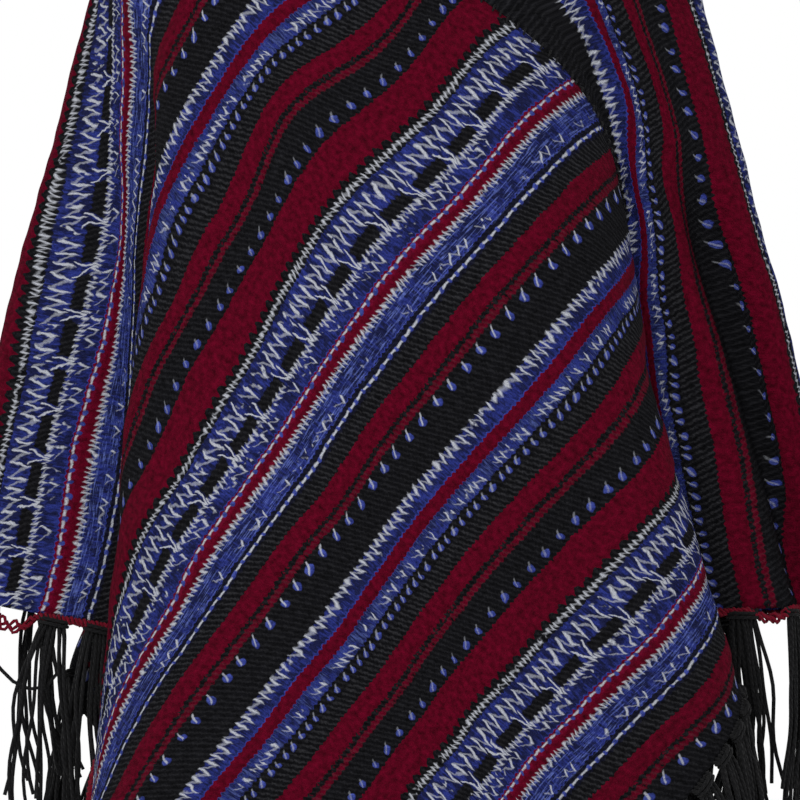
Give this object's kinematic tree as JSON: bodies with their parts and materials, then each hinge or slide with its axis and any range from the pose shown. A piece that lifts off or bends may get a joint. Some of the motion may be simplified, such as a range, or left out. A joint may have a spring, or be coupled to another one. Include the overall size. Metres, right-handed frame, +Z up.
{
  "type": "knitted poncho sweater",
  "caption": "Striped knitted poncho with a pointed front and back, held hollow as it is worn, open at the neck and hem, with a tasselled edge.",
  "frame": {"origin": "middle of the neck opening, where the garment hangs on the wearer's shoulders", "axes": "+Z up, -Y to the wearer's front, +X to the wearer's left"},
  "size_m": [0.7588, 0.588, 1.1839],
  "materials": {
    "striped_knit": "knitted wool, stripes of navy, black, crimson and white",
    "black_yarn": "loose plied yarn"
  },
  "bodies": {
    "root": {"panel_front": "striped_knit", "panel_back": "striped_knit", "fringe_front_hem": "black_yarn", "fringe_front_side": "black_yarn", "fringe_back_hem": "black_yarn", "fringe_back_side": "black_yarn"}
  },
  "joints": []
}
